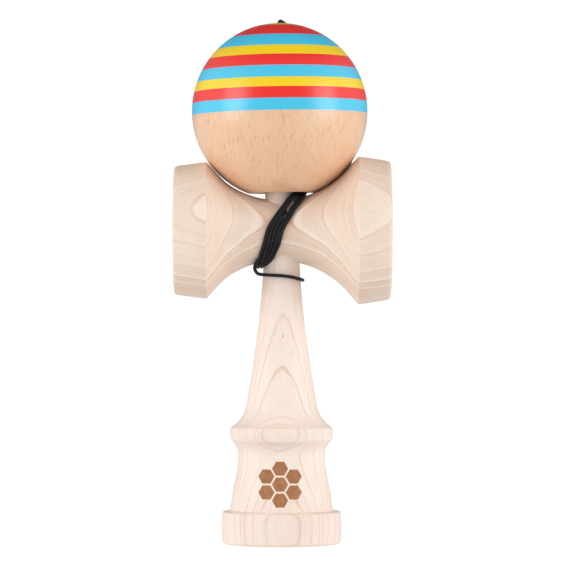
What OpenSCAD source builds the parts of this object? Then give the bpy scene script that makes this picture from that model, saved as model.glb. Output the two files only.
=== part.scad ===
// Kendama: a turned handle with a spike and a base cup, a cross-piece with two cups,
// a drilled ball with painted stripes, and the string that ties the ball to the handle.
// Millimetres. The handle's axis is Z, its foot stands on z = 0, and the big cup faces +X.

/* [Ball] */
// Diameter of the ball
ball_d = 61.3; // [60:0.1:61.4]
// Radius of the ball's bore for the spike
bore_r = 8.25; // [8:0.05:8.5]
// Thickness of the lacquer
lacquer_t = 0.2; // [0.1:0.05:0.3]

/* [Handle] */
// Length of the handle from its foot to the tip of the spike
ken_l = 160; // [158:0.5:160]
// Radius of the ring at the foot
foot_r = 21; // [20:0.1:22]
// Radius of the collar above the grip of the base cup
collar_r = 18.1; // [17:0.1:18.5]

/* [Cross-piece] */
// Distance from the handle's axis to the rim of the big cup
big_end = 38.1; // [38:0.05:38.4]
// Distance from the handle's axis to the rim of the small cup
small_end = 37.45; // [37.2:0.05:37.8]
// Height of the cross-piece's axis above the foot
cross_z = 109.25; // [109:0.05:109.3]
// Smallest radius of the waist
waist_r = 10.6; // [10.4:0.1:10.8]
// Radius of the big cup's rim
big_cup_r = 21.6; // [20:0.1:22]
// Radius of the small cup's rim
small_cup_r = 20.3; // [19:0.1:20.6]

/* [String] */
// Diameter of the string
string_d = 1.2; // [1:0.1:1.3]

/* [Hidden] */
$fn = 96;
fine = 180;
tiny = 0.01;

ball_r = ball_d / 2;
ball_x = -0.65;
ball_z = 150.75;
// Radius of the flat that is cut round the bore's mouth
flat_r = 11.5;
flat_h = sqrt(ball_r * ball_r - flat_r * flat_r);
// The upper half is a hair taller than round, and this is its height
crown = 1.008;
ball_top = ball_r * crown;
mouth_r = 10.4;
bore_top = 12.3;
bead_room_top = 18.9;
bead_room_r = 4.2;
string_hole_r = 1.1;
sink_r = 3;
sink_depth = 2.2;

// Every cup is a dish a little wider than the ball
cup_r = ball_r + 0.3;
function dish_depth(rim) = cup_r - sqrt(cup_r * cup_r - rim * rim);
base_cup_r = 18.3;

// The ball leans a little on the spike, and its bore and stripes lean with it
ball_lean = -0.8;

// Paint: heights of the stripes above the ball's centre, from the lowest edge upwards
paint_z0 = -1.1;
stripe_h = [4.15, 3.95, 3.35];
stripe_start = [0, stripe_h[0], stripe_h[0] + stripe_h[1]];
set_h = stripe_start[2] + stripe_h[2];
// The lowest edge of stripe i, in the repeating order blue, red, yellow
function stripe_z(i) = paint_z0 + floor(i / 3) * set_h + stripe_start[i % 3];

// Taper of the spike's root, which the cross-piece is pushed onto
taper_z = [97, 121.5];
taper_r = [6.35, 5.7];
function taper(z) = taper_r[0]
    + (taper_r[1] - taper_r[0]) * (z - taper_z[0]) / (taper_z[1] - taper_z[0]);
press = 0.02;

// Where the string goes into the cross-piece
hole_x = 0.9;
hole_z = 115.4;
hole_r = 1;
knot_room_r = 1.5;
knot_r = 1.4;
knot_y = -4.3;

// The waist: an arc to either side of its narrowest place, and an easier slope at each shoulder
waist_x = -1;
waist_arc = [30.9, 31.9];
waist_span = [-18.5, 25];
shoulder_x = [-26, 26.8];
shoulder_r = [23.7, 25.7];

// Radius of the waist at a distance x along the cross-piece
function waist(x) = let (arc = x < waist_x ? waist_arc[0] : waist_arc[1])
    waist_r + arc - sqrt(arc * arc - (x - waist_x) * (x - waist_x));

// ---------- curves ----------

function bezier(a, b, c, d, steps) = [for (i = [1 : steps]) let (t = i / steps, s = 1 - t)
    s * s * s * a + 3 * s * s * t * b + 3 * s * t * t * c + t * t * t * d];

function unit(v) = v / norm(v);

// A smooth curve through the points of a route, with a number of steps between each two
function spline(p, steps) = let (n = len(p) - 1) concat(
    [for (i = [0 : n - 1]) let (a = p[max(i - 1, 0)], b = p[i], c = p[i + 1], d = p[min(i + 2, n)])
        for (k = [0 : steps - 1]) let (t = k / steps)
            0.5 * (2 * b + (c - a) * t + (2 * a - 5 * b + 4 * c - d) * t * t
                   + (3 * b - a - 3 * c + d) * t * t * t)],
    [p[n]]);

function tangents(p) = let (n = len(p) - 1)
    [for (i = [0 : n]) unit(p[min(i + 1, n)] - p[max(i - 1, 0)])];

// Side vectors that turn as little as they can from one ring to the next
function sides_along(t, i, v) = i == len(t) ? [] :
    let (u = unit(v - (v * t[i]) * t[i])) concat([u], sides_along(t, i + 1, u));

module tube(p, d, first) {
    sides = 8;
    t = tangents(p);
    u = sides_along(t, 0, first);
    n = len(p);
    rings = [for (i = [0 : n - 1]) for (k = [0 : sides - 1]) let (a = 360 * k / sides)
        p[i] + d / 2 * (cos(a) * u[i] + sin(a) * cross(t[i], u[i]))];
    walls = [for (i = [0 : n - 2]) for (k = [0 : sides - 1]) let (m = (k + 1) % sides)
        [i * sides + k, (i + 1) * sides + k, (i + 1) * sides + m, i * sides + m]];
    caps = [[for (k = [0 : sides - 1]) k],
            [for (k = [sides - 1 : -1 : 0]) (n - 1) * sides + k]];
    polyhedron(points = rings, faces = concat(walls, caps), convexity = 6);
}

// ---------- handle ----------

// Half outline of the handle: foot ring, grip of the base cup, collar, stem and spike
ken_outline = concat(
    [[0, 0], [foot_r - 1.4, 0]],
    bezier([foot_r - 1.4, 0], [foot_r - 0.6, 0], [foot_r - 0.1, 0.6], [foot_r - 0.1, 1.6], 5),
    bezier([foot_r - 0.1, 1.6], [foot_r, 4.5], [foot_r, 8], [foot_r - 0.2, 10.5], 4),
    bezier([foot_r - 0.2, 10.5], [foot_r - 0.25, 11.1], [foot_r - 0.6, 11.3],
           [foot_r - 1, 11.35], 3),
    [[18.1, 11.8]],
    bezier([17.8, 12.5], [17.4, 19.3], [15.15, 24.5], [15.15, 31.2], 12),
    bezier([15.15, 31.2], [15.15, 33.3], [16.3, 34.75], [17.6, 36.1], 6),
    bezier([17.6, 36.1], [collar_r - 0.2, 37.1], [collar_r + 0.1, 39.3], [17.75, 40.5], 6),
    bezier([17.75, 40.5], [16.4, 41.3], [13.2, 43.8], [12.42, 48], 8),
    bezier([12.42, 48], [11.15, 55], [7.2, 77], [taper_r[0], taper_z[0]], 14),
    [[taper_r[1], taper_z[1]]],
    bezier([taper_r[1], taper_z[1]], [5.2, 134], [4.1, 148], [2.9, ken_l - 4.5], 10),
    bezier([2.9, ken_l - 4.5], [2.5, ken_l - 1.6], [1.6, ken_l], [0, ken_l], 8));

module ken() {
    color("#f3e3d4") difference() {
        rotate_extrude($fn = fine) difference() {
            polygon(ken_outline);
            translate([0, dish_depth(base_cup_r) - cup_r]) circle(cup_r, $fn = fine);
        }
        translate([hole_x, 0, hole_z]) rotate([90, 0, 0])
            cylinder(r = knot_room_r, h = 2 * taper_r[0] + 4, center = true, $fn = 32);
    }
}

// ---------- cross-piece ----------

// Outline of the cross-piece: radius across, place along its axis upwards
cross_outline = concat(
    [[0, -small_end], [21.4, -small_end]],
    bezier([21.4, -small_end], [22.1, -small_end], [22.45, 0.6 - small_end],
           [22.6, 1.6 - small_end], 5),
    bezier([22.6, 1.6 - small_end], [22.9, -33.7], [23.45, -29.8], [23.8, -26.4], 4),
    [[shoulder_r[0], shoulder_x[0]]],
    bezier([shoulder_r[0], shoulder_x[0]], [20.7, -23.4], [16.95, -20],
           [waist(waist_span[0]), waist_span[0]], 8),
    [for (x = [waist_span[0] + 1 : 1 : waist_span[1]]) [waist(x), x]],
    [[shoulder_r[1], shoulder_x[1]], [25.75, 27.3]],
    bezier([25.75, 27.3], [25.4, 30.4], [24.75, 34.3], [24.3, big_end - 1.6], 4),
    bezier([24.3, big_end - 1.6], [24.1, big_end - 0.5], [23.6, big_end], [22.65, big_end], 5),
    [[0, big_end]]);

module cross_profile() {
    difference() {
        polygon(cross_outline);
        translate([0, big_end - dish_depth(big_cup_r) + cup_r]) circle(cup_r, $fn = fine);
        translate([0, -small_end + dish_depth(small_cup_r) - cup_r]) circle(cup_r, $fn = fine);
    }
}

module crosspiece() {
    reach = 20;
    color("#f0dcc9") difference() {
        translate([0, 0, cross_z]) rotate([0, 90, 0]) rotate_extrude($fn = fine) cross_profile();
        // tapered hole, a light press fit on the root of the spike
        translate([0, 0, cross_z - reach]) cylinder(r1 = taper(cross_z - reach) - press,
            r2 = taper(cross_z + reach) - press, h = 2 * reach);
        // string hole through the front wall
        translate([hole_x, 0, hole_z]) rotate([90, 0, 0]) cylinder(r = hole_r, h = 20, $fn = 32);
    }
}

// ---------- ball ----------

module ball_section(r) {
    circle(r, $fn = fine);
    scale([1, crown]) intersection() {
        circle(r, $fn = fine);
        translate([-r, 0]) square(2 * r);
    }
}

module ball_profile() {
    flat_z = -flat_h;
    difference() {
        intersection() {
            ball_section(ball_r);
            translate([0, flat_z]) square([ball_r + 1, 2 * ball_r + 1]);
        }
        // recess that the lacquer fills
        difference() {
            translate([0, paint_z0]) square([ball_r + 1, ball_r + 5]);
            ball_section(ball_r - lacquer_t);
        }
        polygon([[0, flat_z - 1], [mouth_r + 1, flat_z - 1], [mouth_r, flat_z],
                 [bore_r, flat_z + mouth_r - bore_r], [bore_r, bore_top],
                 [bead_room_r, bore_top + 1.5], [bead_room_r, bead_room_top],
                 [string_hole_r, bead_room_top + 2], [string_hole_r, ball_top - sink_depth],
                 [sink_r, ball_top + tiny], [sink_r, ball_top + 2], [0, ball_top + 2]]);
    }
}

module at_ball() {
    translate([ball_x, 0, ball_z]) rotate([0, ball_lean, 0]) children();
}

module ball() {
    color("#dcb48c") at_ball() rotate_extrude($fn = fine) ball_profile();
}

// Film between two heights above the ball's centre
module film(z_low, z_high) {
    rotate_extrude($fn = fine) difference() {
        intersection() {
            ball_section(ball_r);
            translate([0, z_low]) square([ball_r + 1, z_high - z_low]);
        }
        ball_section(ball_r - lacquer_t);
        polygon([[0, 0], [0, ball_top + 2], [sink_r, ball_top + 2], [sink_r, ball_top + tiny],
                 [string_hole_r, ball_top - sink_depth], [string_hole_r, 0]]);
    }
}

// Every third stripe has one colour, and the last of them is the cap round the top
module stripes(first) {
    at_ball() for (i = [first : 3 : 8]) film(stripe_z(i), i == 8 ? ball_top + tiny : stripe_z(i + 1));
}

module paint_blue() { color("#5bcbea") stripes(0); }
module paint_red() { color("#ef3a35") stripes(1); }
module paint_yellow() { color("#f8dc2c") stripes(2); }

// ---------- string ----------

// Heights of the bead and its knot above the ball's centre
bead_bottom = 12.6;
bead_h = 5.6;
bead_r = 3.6;
bead_knot_r = 1.5;

module string_bead() {
    color("#d9c6a8") at_ball() translate([0, 0, bead_bottom]) rotate_extrude() difference() {
        intersection() {
            translate([0, bead_h / 2]) circle(bead_r + 0.4);
            square([bead_r, bead_h]);
        }
        square([string_d / 2, bead_h]);
    }
}

module bead_knot() {
    color("#17171a") at_ball() translate([0, 0, bead_bottom - bead_knot_r])
        sphere(bead_knot_r, $fn = 48);
}

module ken_knot() {
    color("#17171a") translate([hole_x, knot_y, hole_z]) sphere(knot_r, $fn = 48);
}

// The string runs from the knot's face out to the winding
outlet_y = [-5.5, -9];

module string_outlet() {
    color("#17171a") translate([hole_x, outlet_y[0], hole_z]) rotate([90, 0, 0])
        cylinder(r = string_d / 2, h = outlet_y[0] - outlet_y[1], $fn = 24);
}

// The winding leans across the waist: right of the spike at the top, left of the stem below.
// u runs from 1 at the top to -1 at the bottom of the turn.
function lean(u) = -0.9 + 3.25 * u + 4.9 * u * u * u;
function band_w(u) = 2.7 - 1.35 * u * u * u * u;
function band_t(u) = string_d + 1.1 * u * u * u * u;
band_section = [[-0.7, 0], [0.7, 0], [1, 0.3], [1, 0.7], [0.6, 1], [-0.6, 1], [-1, 0.7], [-1, 0.3]];
band_gap = 0.1;

function band_point(a, s) = let (
        u = cos(a),
        x = lean(u) + s[0] * band_w(u),
        r = waist(x) + band_gap + s[1] * band_t(u))
    [x, -r * sin(a), cross_z + r * cos(a)];

module string_wraps() {
    stations = 36;
    n = len(band_section);
    points = [for (i = [0 : stations - 1]) for (s = band_section) band_point(360 * i / stations, s)];
    faces = [for (i = [0 : stations - 1]) for (k = [0 : n - 1])
        let (j = (i + 1) % stations, m = (k + 1) % n)
        [i * n + k, i * n + m, j * n + m, j * n + k]];
    color("#17171a") polyhedron(points = points, faces = faces, convexity = 8);
}

// Route of the string from the winding round the stem
stem_loop_route = [
    [-8.6, -5.6, 98.6], [-9.2, -5.4, 97], [-9.2, -5.2, 95.4], [-8.2, -5.3, 94.1], [-6, -6, 93.7],
    [-2.7, -7, 93.5], [0.6, -7.4, 93.3], [3.6, -6.5, 92.9], [6.1, -4.3, 92.3],
    [7.4, -0.9, 91.9], [6.9, 2.7, 92.1], [4.8, 5.8, 92.8], [2.8, 7.4, 94.2]];

// Route up behind the cross-piece and the lower half of the ball
back_run_route = [
    [2.8, 7.4, 94.2], [2.4, 8.9, 97], [3.1, 10, 100.4], [4, 11.4, 104.5], [5.2, 12.4, 109],
    [7, 12.2, 114], [9.4, 11.2, 119], [12.3, 10.6, 123.2], [16.2, 11, 125.5], [20.2, 12.2, 128.4],
    [23, 14.2, 131.4], [24.6, 16.8, 135.2], [23.8, 20.2, 140.6], [21.2, 23.6, 146.2],
    [18.2, 25.7, 150.9]];

// Route over the back and the top of the ball, and down its hole to the bead. It starts a
// little above the lower route's end, because this half is lifted with the ball.
over_ball_route = [
    [17.7, 25.9, 151.8], [15.2, 26.2, 159.4], [11.8, 24.4, 167.1], [8.2, 20.6, 173.6],
    [4.6, 15, 178.6], [1.5, 8, 181.7], [-0.1, 3.6, 182.6], [-0.8, 1.2, 182.1],
    [-1.05, 0.1, 180], [-1, 0, 176], [-0.91, 0, 170], [-0.83, 0, 163.35]];

module string_stem_loop() {
    color("#17171a") tube(spline(stem_loop_route, 3), string_d, [1, 0, 0]);
}

module string_back_run() {
    color("#17171a") tube(spline(back_run_route, 3), string_d, [1, 0, 0]);
}

module string_over_ball() {
    color("#17171a") tube(spline(over_ball_route, 4), string_d, [1, 0, 0]);
}

ken();
crosspiece();
ball();
paint_blue();
paint_red();
paint_yellow();
string_bead();
bead_knot();
ken_knot();
string_outlet();
string_wraps();
string_stem_loop();
string_back_run();
string_over_ball();
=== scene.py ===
"""Kendama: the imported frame, with turned maple and beech, lacquered stripes and a braided black string."""
import math

import bpy
import numpy as np
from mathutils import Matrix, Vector


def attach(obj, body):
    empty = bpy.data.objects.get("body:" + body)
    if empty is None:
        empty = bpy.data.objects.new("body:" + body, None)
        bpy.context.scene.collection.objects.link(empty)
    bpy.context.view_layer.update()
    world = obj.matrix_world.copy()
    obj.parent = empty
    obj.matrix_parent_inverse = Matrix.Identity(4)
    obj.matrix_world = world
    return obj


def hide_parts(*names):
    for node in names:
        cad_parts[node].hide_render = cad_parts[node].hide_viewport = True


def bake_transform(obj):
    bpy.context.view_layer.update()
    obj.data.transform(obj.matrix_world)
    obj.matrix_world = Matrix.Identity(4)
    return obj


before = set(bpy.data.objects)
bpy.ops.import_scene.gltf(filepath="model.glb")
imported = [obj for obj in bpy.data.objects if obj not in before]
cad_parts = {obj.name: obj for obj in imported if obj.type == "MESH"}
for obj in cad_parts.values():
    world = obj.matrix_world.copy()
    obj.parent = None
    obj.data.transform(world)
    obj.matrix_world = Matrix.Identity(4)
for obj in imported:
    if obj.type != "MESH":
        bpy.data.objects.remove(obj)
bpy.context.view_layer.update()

MM = 0.001
# Lengths from here on are in millimetres, until MM turns them into metres
STRING_D = 1.2
CROSS_Z = 109.25            # height of the cross-piece's axis
WAIST_X = -1.0              # middle of the waist, its radius there, and the radii of its two arcs
WAIST_R = 10.6
WAIST_ARC = (30.9, 31.9)
HOLE = (0.9, 115.4)         # the string's hole in the cross-piece: sideways and up


# ---------- camera ----------

def add_camera():
    """The photograph's view: level with the toy's middle, from far off with a long lens."""
    data = bpy.data.cameras.new("camera")
    data.lens, data.sensor_width = 213.5, 36.0
    data.clip_start, data.clip_end = 0.05, 20.0
    camera = bpy.data.objects.new("camera", data)
    bpy.context.collection.objects.link(camera)
    place, target = Vector((0.0012, -1.18, 0.0815)), Vector((0.0012, 0.0, 0.0902))
    camera.location = place
    camera.rotation_euler = (target - place).to_track_quat("-Z", "Y").to_euler()
    bpy.context.scene.camera = camera


add_camera()


# ---------- small mesh tools ----------

def new_piece(name, verts, faces, smooth=True):
    mesh = bpy.data.meshes.new(name)
    mesh.from_pydata([tuple(v) for v in verts], [], faces)
    mesh.update()
    piece = bpy.data.objects.new(name, mesh)
    bpy.context.collection.objects.link(piece)
    for polygon in mesh.polygons:
        polygon.use_smooth = smooth
    return piece


def spline(points, steps):
    """A smooth curve through the points, with that many steps between each two."""
    p, out = np.array(points, float), []
    last = len(p) - 1
    for i in range(last):
        a, b, c, d = p[max(i - 1, 0)], p[i], p[i + 1], p[min(i + 2, last)]
        for t in np.arange(steps) / steps:
            out.append(0.5 * (2 * b + (c - a) * t + (2 * a - 5 * b + 4 * c - d) * t ** 2
                              + (3 * b - a - 3 * c + d) * t ** 3))
    return np.array(out + [p[last]])


def flow(at, value, x):
    """The value at x on a smooth curve through the values at those places."""
    slope = np.gradient(value, at)
    k = min(max(int(np.searchsorted(at, x, side="right")) - 1, 0), len(at) - 2)
    h = at[k + 1] - at[k]
    t = min(max((x - at[k]) / h, 0.0), 1.0)
    return ((1 + 2 * t) * (1 - t) ** 2 * value[k] + t * t * (3 - 2 * t) * value[k + 1]
            + h * t * (1 - t) * ((1 - t) * slope[k] - t * slope[k + 1]))


def evenly(line, step):
    """The line again, with its points one step apart."""
    along = np.concatenate([[0], np.cumsum(np.linalg.norm(np.diff(line, axis=0), axis=1))])
    at = np.linspace(0, along[-1], max(2, int(round(along[-1] / step)) + 1))
    return np.stack([np.interp(at, along, line[:, k]) for k in range(3)], axis=1)


def tube(name, line, radius, sides=12):
    """A closed tube round the line, with u along it in millimetres and v once round it."""
    line = np.array(line, float)
    tangent = np.gradient(line, axis=0)
    tangent /= np.linalg.norm(tangent, axis=1)[:, None]
    side = np.cross(tangent[0], (0.3, 0.5, 0.81))
    verts, n = [], len(line)
    for t, centre in zip(tangent, line):
        side = side - side.dot(t) * t
        side /= np.linalg.norm(side)
        other = np.cross(t, side)
        for a in np.arange(sides) * 2 * math.pi / sides:
            verts.append((centre + radius * (math.cos(a) * side + math.sin(a) * other)) * MM)
    faces = [(i * sides + k, i * sides + (k + 1) % sides,
              (i + 1) * sides + (k + 1) % sides, (i + 1) * sides + k)
             for i in range(n - 1) for k in range(sides)]
    faces += [tuple(range(sides - 1, -1, -1)), tuple((n - 1) * sides + k for k in range(sides))]
    piece = new_piece(name, verts, faces)
    along = np.concatenate([[0], np.cumsum(np.linalg.norm(np.diff(line, axis=0), axis=1))])
    uv = piece.data.uv_layers.new(name="cord")
    for f, polygon in enumerate(piece.data.polygons):
        i, k = divmod(f, sides)
        if i >= n - 1:
            continue
        for loop, (di, dk) in zip(polygon.loop_indices, ((0, 0), (0, 1), (1, 1), (1, 0))):
            uv.data[loop].uv = (along[i + di], (k + dk) / sides)
    return piece


# ---------- the string's route, in millimetres ----------

def waist(x):
    arc = WAIST_ARC[0] if x < WAIST_X else WAIST_ARC[1]
    return WAIST_R + arc - math.sqrt(arc * arc - (x - WAIST_X) ** 2)


def lean(u):
    """Middle of the winding at height u on the waist, from 1 at its top to -1 at its bottom."""
    return -0.9 + 3.25 * u + 4.9 * u ** 3


# Where each pass of the string crosses the winding at some angles from the top of the waist:
# (sideways, outwards), in strands. Pass 0 comes out of the hole between passes 3 and 1, and each
# later pass starts at the top, beside the spike, and comes down the front.
PASSES = {
    32: [None, (0.88, 0.9), (1.97, 0.5), (-0.35, 1.7), (-1.4, 2.1)],
    56: [None, (0.95, 0.1), (1.95, 0.1), (-1.05, 0.45), (-2.1, 0.4)],
    66: [(-0.1, 0.5), (0.95, 0.0), (1.95, 0.0), (-1.3, 0.3), (-2.35, 0.2)],
    90: [(-1.05, 0.1), (0.03, 0.0), (1.15, 0.1), (-2.12, 0.0), (-3.2, 0.0)],
    127: [(-0.25, 0.0), (0.8, 0.2), (1.87, 0.0), (-1.29, 0.2), (-2.33, 0.0)],
    150: [(0.9, 0.3), (1.8, 0.5), (2.75, 0.4), (0.0, 0.6), (-0.9, 0.2)],
    168: [(0.7, 0.8), (1.7, 0.9), (2.7, 0.9), (-0.2, 0.8), None],
    180: [(0.75, 0.7), (1.75, 0.9), (2.7, 0.9), (-0.25, 0.8), None],
    270: [(-0.5, 0.0), (0.55, 0.0), (1.6, 0.0), (-1.6, 0.0), None],
    360: [(0.55, 0.0), (0.6, 1.0), (-0.5, 0.0), (-0.5, 1.0), None]}
START_ANGLE = 66
END_ANGLE = 148


def winding():
    """The strands over the waist: four whole turns, after a first part that starts at the hole."""
    stations = sorted((360 * turn + angle, *place) for angle, places in PASSES.items()
                      for turn, place in enumerate(places) if place)
    angles, sideways, outwards = (np.array(c, float) for c in zip(*stations))
    line = []
    for angle in range(START_ANGLE, 1440 + END_ANGLE + 1, 6):
        a = math.radians(angle)
        x = lean(math.cos(a)) + flow(angles, sideways, angle) * STRING_D
        r = waist(x) + STRING_D * (0.5 + 0.9 * flow(angles, outwards, angle))
        line.append((x, -r * math.sin(a), CROSS_Z + r * math.cos(a)))
    return line


OUTLET = [(HOLE[0], -5.6, HOLE[1]), (HOLE[0], -7.4, HOLE[1]), (HOLE[0], -8.9, HOLE[1] - 0.3)]
STEM_LOOP = [(-9.2, -5.4, 97), (-9.2, -5.2, 95.4), (-8.2, -5.3, 94.1), (-6, -6, 93.7),
             (-2.7, -7, 93.5), (0.6, -7.4, 93.3), (3.6, -6.5, 92.9), (6.1, -4.3, 92.3),
             (7.4, -0.9, 91.9), (6.9, 2.7, 92.1), (4.8, 5.8, 92.8), (2.8, 7.4, 94.2)]
BACK_RUN = [(2.4, 8.9, 97), (3.1, 10, 100.4), (4, 11.4, 104.5), (5.2, 12.4, 109),
            (7, 12.2, 114), (9.4, 11.2, 119), (12.3, 10.6, 123.2), (16.2, 11, 125.5),
            (20.2, 12.2, 128.4), (23, 14.2, 131.4), (24.6, 16.8, 135.2), (23.8, 20.2, 140.6),
            (21.2, 23.6, 146.2), (17.9, 25.8, 151.3)]
OVER_BALL = [(15.2, 26.2, 159.4), (11.8, 24.4, 167.1), (8.2, 20.6, 173.6), (4.6, 15, 178.6),
             (1.5, 8, 181.7), (-0.1, 3.6, 182.6), (-0.8, 1.2, 182.1), (-1.05, 0.1, 180),
             (-1, 0, 176), (-0.91, 0, 170), (-0.83, 0, 163.35)]


def string_line():
    route = OUTLET + winding()[1:] + STEM_LOOP + BACK_RUN + OVER_BALL
    return evenly(spline(route, 8), 0.4)


def add_string():
    line = string_line()
    piece = tube("string", line, STRING_D / 2)
    length = float(np.linalg.norm(np.diff(line, axis=0), axis=1).sum()) * MM
    print("string length", round(length, 4))
    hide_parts("string_outlet", "string_wraps", "string_stem_loop",
                "string_back_run", "string_over_ball")
    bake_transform(piece)
    return piece, line, length


def knot(name, centre, size, node, body):
    """A tight overhand knot: a trefoil of the string, pulled close."""
    turn = np.linspace(0, 2 * math.pi, 73)
    shape = np.stack([np.sin(turn) + 2 * np.sin(2 * turn), np.cos(turn) - 2 * np.cos(2 * turn),
                      -1.6 * np.sin(3 * turn)], axis=1) / 3
    piece = tube(name, np.array(centre) + shape * size, 0.5)
    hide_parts(node)
    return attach(piece, body)


string, string_path, string_length = add_string()
handle_knot = knot("knot_in_handle", (HOLE[0], -4.3, HOLE[1]), 0.9, "ken_knot", "handle")
bead_knot = knot("knot_under_bead", (-0.81, 0, 161.85), 1.0, "bead_knot", "string_end")


# ---------- node tools ----------

class Nodes:
    """Short calls for building a node tree: a new material's, or the given world's."""

    def __init__(self, name, world=None):
        self.owner = world or bpy.data.materials.new(name)
        self.owner.use_nodes = True
        self.tree = self.owner.node_tree
        kind = "BACKGROUND" if world else "BSDF_PRINCIPLED"
        self.shader = next(n for n in self.tree.nodes if n.type == kind)

    def add(self, kind, **settings):
        node = self.tree.nodes.new("ShaderNode" + kind)
        for key, value in settings.items():
            setattr(node, key, value)
        return node

    def put(self, socket, value):
        if isinstance(value, bpy.types.NodeSocket):
            self.tree.links.new(value, socket)
        else:
            socket.default_value = value

    def math(self, operation, a, b=0.0, c=0.0, clamp=False):
        node = self.add("Math", operation=operation, use_clamp=clamp)
        for socket, value in zip(node.inputs, (a, b, c)):
            self.put(socket, value)
        return node.outputs[0]

    def vector(self, operation, a, b=(0, 0, 0)):
        node = self.add("VectorMath", operation=operation)
        self.put(node.inputs[0], a)
        if operation == "SCALE":
            self.put(node.inputs["Scale"], b)
        else:
            self.put(node.inputs[1], b)
        return node.outputs["Value" if operation in ("DOT_PRODUCT", "LENGTH") else "Vector"]

    def between(self, value, start, end, low, high):
        """Goes smoothly from low to high while value goes from start to end."""
        node = self.add("MapRange", interpolation_type="SMOOTHSTEP")
        for socket, setting in zip(node.inputs, (value, start, end, low, high)):
            self.put(socket, setting)
        return node.outputs[0]

    def total(self, values):
        out = values[0]
        for value in values[1:]:
            out = self.math("ADD", out, value)
        return out

    def noise(self, vector, scale, detail=2.0, roughness=0.5, colour=False):
        node = self.add("TexNoise")
        self.put(node.inputs["Vector"], vector)
        self.put(node.inputs["Scale"], scale)
        self.put(node.inputs["Detail"], detail)
        self.put(node.inputs["Roughness"], roughness)
        return node.outputs["Color" if colour else "Fac"]

    def mix(self, factor, a, b):
        node = self.add("Mix", data_type="RGBA")
        self.put(node.inputs["Factor"], factor)
        for socket, value in zip([s for s in node.inputs if s.type == "RGBA"], (a, b)):
            self.put(socket, value if isinstance(value, bpy.types.NodeSocket) else (*value, 1))
        return next(s for s in node.outputs if s.type == "RGBA")

    def bump(self, height, distance, strength):
        node = self.add("Bump")
        self.put(node.inputs["Height"], height)
        self.put(node.inputs["Distance"], distance)
        self.put(node.inputs["Strength"], strength)
        return node.outputs[0]

    def finish(self, **sockets):
        for key, value in sockets.items():
            self.put(self.shader.inputs[key.replace("_", " ")], value)
        return self.owner

    def place(self):
        """The place on the object, in millimetres in the row frame."""
        return self.vector("SCALE", self.add("TexCoord").outputs["Object"], 1000.0)


def srgb(r, g, b):
    """A colour given as 0 to 255 on a screen, as linear light."""
    return tuple(c / 12.92 if c <= 0.04045 else ((c + 0.055) / 1.055) ** 2.4
                 for c in (r / 255, g / 255, b / 255))


# ---------- materials ----------

LINE_RISE, LINE_FALL = 0.42, 0.18       # how far a ring's amber line takes to come and to go
BAND_START, BAND_HOLD, BAND_END = 0.3, 0.4, 1.3     # where its pale band is full, fades and ends


def wood(name, colours, strength, facing, rings, fibre, centre, warp=1.2, pin=None):
    """Sawn maple. Its growth rings are nearly flat sheets that face one way and its fibres run
    along fibre. Each ring is its distance from the centre, the strength of the amber line that
    ends it, the strength of the pale band past it, and how much darker the wood is from there.
    A pin knot, if there is one, is a small dark fleck at that place."""
    n = Nodes(name)
    pale, dark, amber, cream = colours
    at = n.vector("SUBTRACT", n.place(), centre)
    sway = n.vector("SUBTRACT", n.noise(at, 0.035, 1.5, colour=True), (0.5, 0.5, 0.5))
    wavy = n.vector("SUBTRACT", n.noise(at, 0.2, 3.0, colour=True), (0.5, 0.5, 0.5))
    bent = n.vector("ADD", at, n.vector("ADD", n.vector("SCALE", sway, warp * 3),
                                        n.vector("SCALE", wavy, warp * 0.55)))
    depth = n.vector("DOT_PRODUCT", bent, facing)
    lines, halos, tones = [], [], []
    for place, line, halo, tone in rings:
        rise = n.between(depth, place - LINE_RISE, place, 0.0, 1.0)
        fall = n.between(depth, place, place + LINE_FALL, line, 0.0)
        lines.append(n.math("MULTIPLY", n.math("POWER", rise, 2.2), fall))
        if halo:
            halos.append(n.math(
                "MULTIPLY", n.between(depth, place, place + BAND_START, 0.0, halo),
                n.between(depth, place + BAND_HOLD, place + BAND_END, 1.0, 0.0)))
        if tone:
            tones.append(n.between(depth, place - 0.1, place + 0.2, 0.0, tone))
    # the lines fade in and out along their length
    fade = n.between(n.noise(at, 0.11, 2.0), 0.3, 0.62, 0.45, 1.1)
    line = n.math("MULTIPLY", n.total(lines), fade)
    # long fibres, short pores and a slow drift of tone
    along = tuple(0.05 if f else 1.0 for f in fibre)
    streak = n.noise(n.vector("MULTIPLY", bent, along), 1.3, 4.0, 0.6)
    ray_way = tuple(0.3 if f else 1.0 for f in fibre)
    rays = n.noise(n.vector("MULTIPLY", at, ray_way), 2.6, 2.0, 0.5)
    drift = n.noise(at, 0.05, 2.0)
    ground = [n.math("MULTIPLY_ADD", streak, 0.42, -0.21 + 0.12),
              n.math("MULTIPLY_ADD", drift, 0.5, -0.25),
              n.math("MULTIPLY_ADD", rays, 0.34, -0.17), *tones]
    colour = n.mix(n.math("ADD", n.total(ground), 0.0, clamp=True), pale, dark)
    colour = n.mix(n.math("MULTIPLY", n.total(halos), 0.8, clamp=True), colour, cream)
    colour = n.mix(n.math("MULTIPLY", line, strength, clamp=True), colour, amber)
    if pin:
        away = n.vector("LENGTH", n.vector("MULTIPLY", n.vector("SUBTRACT", at, pin),
                                           (1.5, 0.3, 0.6)))
        colour = n.mix(n.between(away, 0.2, 0.6, 0.6, 0.0), colour, srgb(168, 104, 62))
    return n.finish(Base_Color=colour, Roughness=n.math("MULTIPLY_ADD", streak, 0.12, 0.44),
                    Normal=n.bump(n.math("ADD", streak, rays), 0.00004, 0.3),
                    Specular_IOR_Level=0.4)


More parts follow.
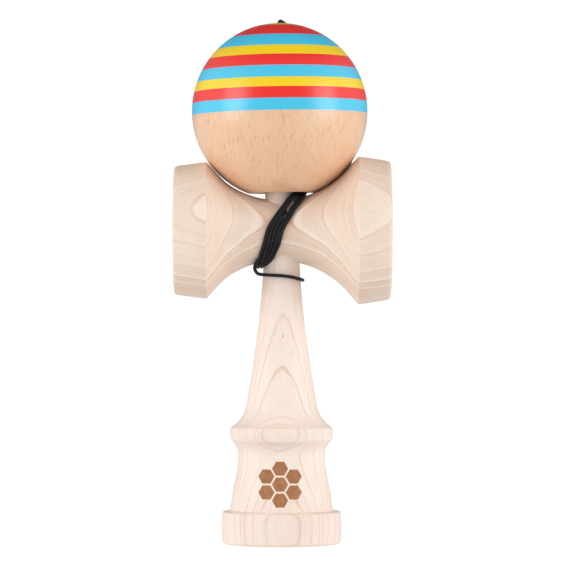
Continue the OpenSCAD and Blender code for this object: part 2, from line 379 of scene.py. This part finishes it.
def beech(name, shine):
    """Beech with its rays standing on edge: short brown dashes on a warm, even ground."""
    n = Nodes(name)
    at = n.place()
    warped = n.vector("ADD", at, n.vector("SCALE", n.noise(at, 0.3, 2.0, colour=True), 0.8))
    flecks = []
    for shift, width, height in ((0.0, 0.8, 5.6), (37.0, 0.65, 4.2)):
        cells = n.add("TexVoronoi")
        n.put(cells.inputs["Vector"], n.vector("ADD", n.vector(
            "MULTIPLY", warped, (1 / width, 1 / height, 1 / height)), (shift, shift, shift)))
        n.put(cells.inputs["Scale"], 1.0)
        strong = n.add("SeparateColor")
        n.put(strong.inputs[0], cells.outputs["Color"])
        spot = n.between(cells.outputs["Distance"], 0.14, 0.34, 1.0, 0.0)
        flecks.append(n.math("MULTIPLY", spot, strong.outputs[0]))
    fleck = n.math("ADD", *flecks, clamp=True)
    fine = n.noise(n.vector("MULTIPLY", at, (1.0, 1.0, 0.06)), 2.4, 4.0, 0.65)
    band = n.noise(n.vector("MULTIPLY", at, (1.0, 1.0, 0.12)), 0.12, 2.0, 0.5)
    tone = n.math("ADD", n.math("MULTIPLY_ADD", fine, 0.8, -0.4),
                  n.math("MULTIPLY_ADD", band, 0.7, 0.12), clamp=True)
    colour = n.mix(tone, srgb(249, 208, 172), srgb(227, 178, 138))
    colour = n.mix(n.math("MULTIPLY", fleck, 0.45), colour, srgb(192, 122, 78))
    return n.finish(Base_Color=colour, Roughness=n.math("MULTIPLY_ADD", fine, 0.1, 0.34),
                    Normal=n.bump(fine, 0.00003, 0.3),
                    Coat_Weight=shine, Coat_Roughness=0.3)


def lacquer(name, colour):
    """Coloured lacquer over turned wood, with a trace of the grain under it."""
    n = Nodes(name)
    at = n.place()
    grain = n.noise(n.vector("MULTIPLY", at, (1.0, 1.0, 0.08)), 1.6, 3.0, 0.6)
    skin = n.noise(at, 0.9, 2.0)
    base = n.mix(n.math("MULTIPLY", n.math("SUBTRACT", grain, 0.5, clamp=True), 0.5), colour,
                 tuple(c * 0.75 for c in colour))
    return n.finish(Base_Color=base, Roughness=n.math("MULTIPLY_ADD", grain, 0.12, 0.27),
                    Normal=n.bump(n.math("ADD", grain, skin), 0.00002, 0.25),
                    Coat_Weight=0.32, Coat_Roughness=0.24)


def braid():
    """Braided nylon: two sets of fine ridges that wind opposite ways round the string. Its colour has
    painted highlight on the ridge tops and painted shade in the grooves.
    """
    n = Nodes("braided_cord")
    uv = n.add("UVMap", uv_map="cord").outputs[0]
    split = n.add("SeparateXYZ")
    n.put(split.inputs[0], uv)
    u, v = split.outputs[0], split.outputs[1]
    strands, per_mm = 6.0, 1.1
    ridges = []
    for way in (1.0, -1.0):
        phase = n.math("ADD", n.math("MULTIPLY", v, strands * way), n.math("MULTIPLY", u, per_mm))
        ridges.append(n.math("ABSOLUTE", n.math("SINE", n.math("MULTIPLY", phase, math.pi))))
    height = n.math("MINIMUM", ridges[0], ridges[1])
    dust = n.noise(n.place(), 3.0, 3.0)
    # painted highlight on the ridge tops and painted shade in the grooves, following the ridge height,
    # mottled with random dust
    tone = n.math("MULTIPLY_ADD", height, 0.6, n.math("MULTIPLY", dust, 0.4))
    colour = n.mix(tone, srgb(7, 7, 8), srgb(30, 30, 33))
    return n.finish(Base_Color=colour, Roughness=n.math("MULTIPLY_ADD", height, -0.15, 0.6),
                    Normal=n.bump(height, 0.00012, 0.8), Specular_IOR_Level=0.35)


def burnt():
    """Wood scorched brown, with the grain still showing through."""
    n = Nodes("scorched_wood")
    at = n.place()
    grain = n.noise(n.vector("MULTIPLY", at, (1.0, 1.0, 0.12)), 2.2, 3.0, 0.6)
    cloud = n.noise(at, 0.35, 2.0)
    tone = n.math("ADD", n.math("MULTIPLY_ADD", grain, 0.9, -0.45), cloud, clamp=True)
    colour = n.mix(tone, srgb(196, 142, 104), srgb(146, 90, 56))
    return n.finish(Base_Color=colour, Roughness=0.75, Specular_IOR_Level=0.2,
                    Normal=n.bump(n.noise(at, 4.0, 2.0), 0.00004, 0.5))


# (distance from the centre, amber line, pale band, change of tone), each towards its wood's facing
HANDLE_RINGS = [
    (-20.1, 0.45, 0.0, 0.0), (-18.35, 0.35, 0.0, -0.02), (-16.6, 0.5, 0.0, 0.04),
    (-15.4, 0.4, 0.2, -0.04), (-13.5, 0.4, 0.2, 0.0),
    (-9.87, 0.55, 0.3, -0.06), (-7.5, 0.5, 0.2, 0.02), (-5.6, 0.3, 0.0, 0.02),
    (-3.6, 0.25, 0.0, 0.0), (-1.2, 0.35, 0.0, -0.02), (4.2, 0.4, 0.2, 0.0), (8, 0.35, 0.0, -0.02),
    (10.4, 0.5, 0.2, 0.02), (15.4, 0.45, 0.0, 0.0), (18, 0.35, 0.0, 0.0)]
CROSS_RINGS = [
    (-21, 0.3, 0.0, 0.1), (-12.5, 0.3, 0.3, -0.03), (-4.2, 0.2, 0.0, 0.0), (2.4, 0.25, 0.0, 0.12),
    (7.7, 0.5, 0.8, -0.02), (9.5, 0.15, 0.0, 0.0), (10.9, 0.7, 1.0, -0.14), (13.2, 0.2, 0.0, 0.04),
    (14.8, 0.6, 0.4, -0.03), (17.2, 0.2, 0.0, 0.0), (19.9, 0.45, 0.3, 0.0), (21.6, 0.15, 0.0, 0.03),
    (23.2, 0.5, 0.2, -0.15)]
handle_wood = wood("maple_handle", [srgb(250, 234, 222), srgb(219, 184, 158),
                                    srgb(222, 182, 152), srgb(252, 240, 230)], 1.1,
                   (0, 1, 0), HANDLE_RINGS, (0, 0, 1), (0, 0, 0), 0.8, (0.5, -9, 72.4))
tilt = math.radians(17)
cross_wood = wood("maple_crosspiece", [srgb(247, 229, 213), srgb(214, 168, 133),
                                       srgb(212, 156, 116), srgb(252, 239, 226)], 0.62,
                  (0, -math.cos(tilt), math.sin(tilt)), CROSS_RINGS, (1, 0, 0),
                  (0, 0, CROSS_Z))
ball_wood = beech("beech_ball", 0.75)
paints = {"paint_blue": srgb(66, 202, 239), "paint_red": srgb(246, 40, 31),
          "paint_yellow": srgb(252, 216, 8)}


def dress(node, material):
    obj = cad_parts[node]
    obj.data.materials.clear()
    obj.data.materials.append(material)


dress("ken", handle_wood)
dress("crosspiece", cross_wood)
dress("ball", ball_wood)
for paint_node, paint_colour in paints.items():
    dress(paint_node, lacquer(paint_node, paint_colour))
dress("string_bead", beech("bead_wood", 0.0))
cord_material = braid()
for piece in (string, handle_knot, bead_knot):
    piece.data.materials.append(cord_material)


# ---------- burnt mark ----------

def hexagon_grid(radius, rows):
    """Points and triangles that fill a hexagon, in rings round its centre."""
    points, faces, start = [(0.0, 0.0)], [], [0]
    for ring in range(1, rows + 1):
        start.append(len(points))
        for k in range(6 * ring):
            side, step = divmod(k, ring)
            a, b = (math.radians(60 * side + turn) for turn in (0, 60))
            share = step / ring
            r = radius * ring / rows
            points.append((r * (math.cos(a) * (1 - share) + math.cos(b) * share),
                           r * (math.sin(a) * (1 - share) + math.sin(b) * share)))
    for ring in range(1, rows + 1):
        inner = max(6 * (ring - 1), 1)
        for k in range(6 * ring):
            side, step = divmod(k, ring)
            out, after = start[ring] + k, start[ring] + (k + 1) % (6 * ring)
            near = start[ring - 1] + (side * (ring - 1) + step) % inner
            faces.append((out, after, near))
            if step:
                back = start[ring - 1] + (side * (ring - 1) + step - 1) % inner
                faces.append((out, near, back))
    return points, faces, start[rows]


def add_mark():
    """Seven hexagons of a honeycomb, burnt into the front of the handle's base."""
    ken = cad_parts["ken"]
    size, pitch, middle = 2.75, 5.45, (-0.5, 21.4)
    points, faces, rim = hexagon_grid(size, 6)
    centres = [(0.0, 0.0)] + [(pitch * math.cos(math.radians(60 * k + 30)),
                               pitch * math.sin(math.radians(60 * k + 30))) for k in range(6)]
    verts, polygons = [], []
    for cx, cz in centres:
        skins = []
        for depth in (0.04, -0.2):
            skin = len(verts)
            skins.append(skin)
            for px, pz in points:
                x, z = middle[0] + cx + px, middle[1] + cz + pz
                place = ken.ray_cast((x * MM, -0.1, z * MM), (0, 1, 0))[1]
                out = Vector((place.x, place.y, 0)).normalized()
                verts.append(place + out * depth * MM)
            turn = 1 if depth > 0 else -1
            polygons += [tuple(skin + v for v in face[::turn]) for face in faces]
        ring = range(rim, len(points))
        for v in ring:
            after = v + 1 if v + 1 < len(points) else rim
            polygons.append((skins[0] + after, skins[0] + v, skins[1] + v, skins[1] + after))
    mark = new_piece("burnt_mark", verts, polygons, smooth=False)
    mark.data.materials.append(burnt())
    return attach(mark, "handle")


add_mark()


# ---------- stage ----------

def add_light(name, place, target, width, height, power):
    data = bpy.data.lights.new(name, "AREA")
    data.shape, data.size, data.size_y, data.energy = "RECTANGLE", width, height, power
    light = bpy.data.objects.new(name, data)
    bpy.context.collection.objects.link(light)
    light.location = place
    light.rotation_euler = (Vector(target) - Vector(place)).to_track_quat("-Z", "Y").to_euler()
    return light


def add_floor():
    """A white table lit from below, as a product studio has."""
    floor = new_piece("floor", [(-4, -4, 0), (4, -4, 0), (4, 4, 0), (-4, 4, 0)], [(0, 1, 2, 3)])
    n = Nodes("floor")
    floor.data.materials.append(n.finish(
        Base_Color=(0.4, 0.4, 0.4, 1), Roughness=0.9, Specular_IOR_Level=0.1,
        Emission_Color=(1, 1, 1, 1),
        Emission_Strength=n.math("MULTIPLY_ADD", n.add("LightPath").outputs["Is Camera Ray"],
                                 0.4, 0.45)))


def add_world():
    """White walls behind and beside the object, a dim room overhead and behind the camera."""
    world = bpy.data.worlds.new("studio")
    bpy.context.scene.world = world
    n = Nodes("studio", world)
    way = n.add("TexCoord").outputs["Generated"]
    overhead = n.math("MULTIPLY_ADD", n.vector("DOT_PRODUCT", way, (0, 0.35, 0.94)), 4.0, -2.4,
                      clamp=True)
    side = n.add("SeparateXYZ")
    n.put(side.inputs[0], way)
    front = n.math("MULTIPLY_ADD", side.outputs[1], -2.2, -0.6, clamp=True)
    back = n.math("MULTIPLY_ADD", side.outputs[1], 2.2, -0.8, clamp=True)
    light = n.math("MULTIPLY", n.math("MULTIPLY_ADD", overhead, -0.8, 1.02),
                   n.math("MULTIPLY_ADD", front, -0.54, n.math("MULTIPLY_ADD", back, -0.75, 1.0)))
    seen = n.add("LightPath").outputs["Is Camera Ray"]
    strength = n.math("MAXIMUM", light, n.math("MULTIPLY", seen, 1.05))
    n.finish(Color=(1, 1, 1, 1), Strength=strength)


def add_stage():
    add_floor()
    add_world()
    bpy.context.scene.view_settings.view_transform = "Standard"
    middle = (0, 0, 0.1)
    add_light("left", (-0.78, -0.45, 0.22), middle, 0.5, 0.7, 3.9)
    add_light("right", (0.8, -0.41, 0.22), middle, 0.5, 0.7, 3.9)


add_stage()
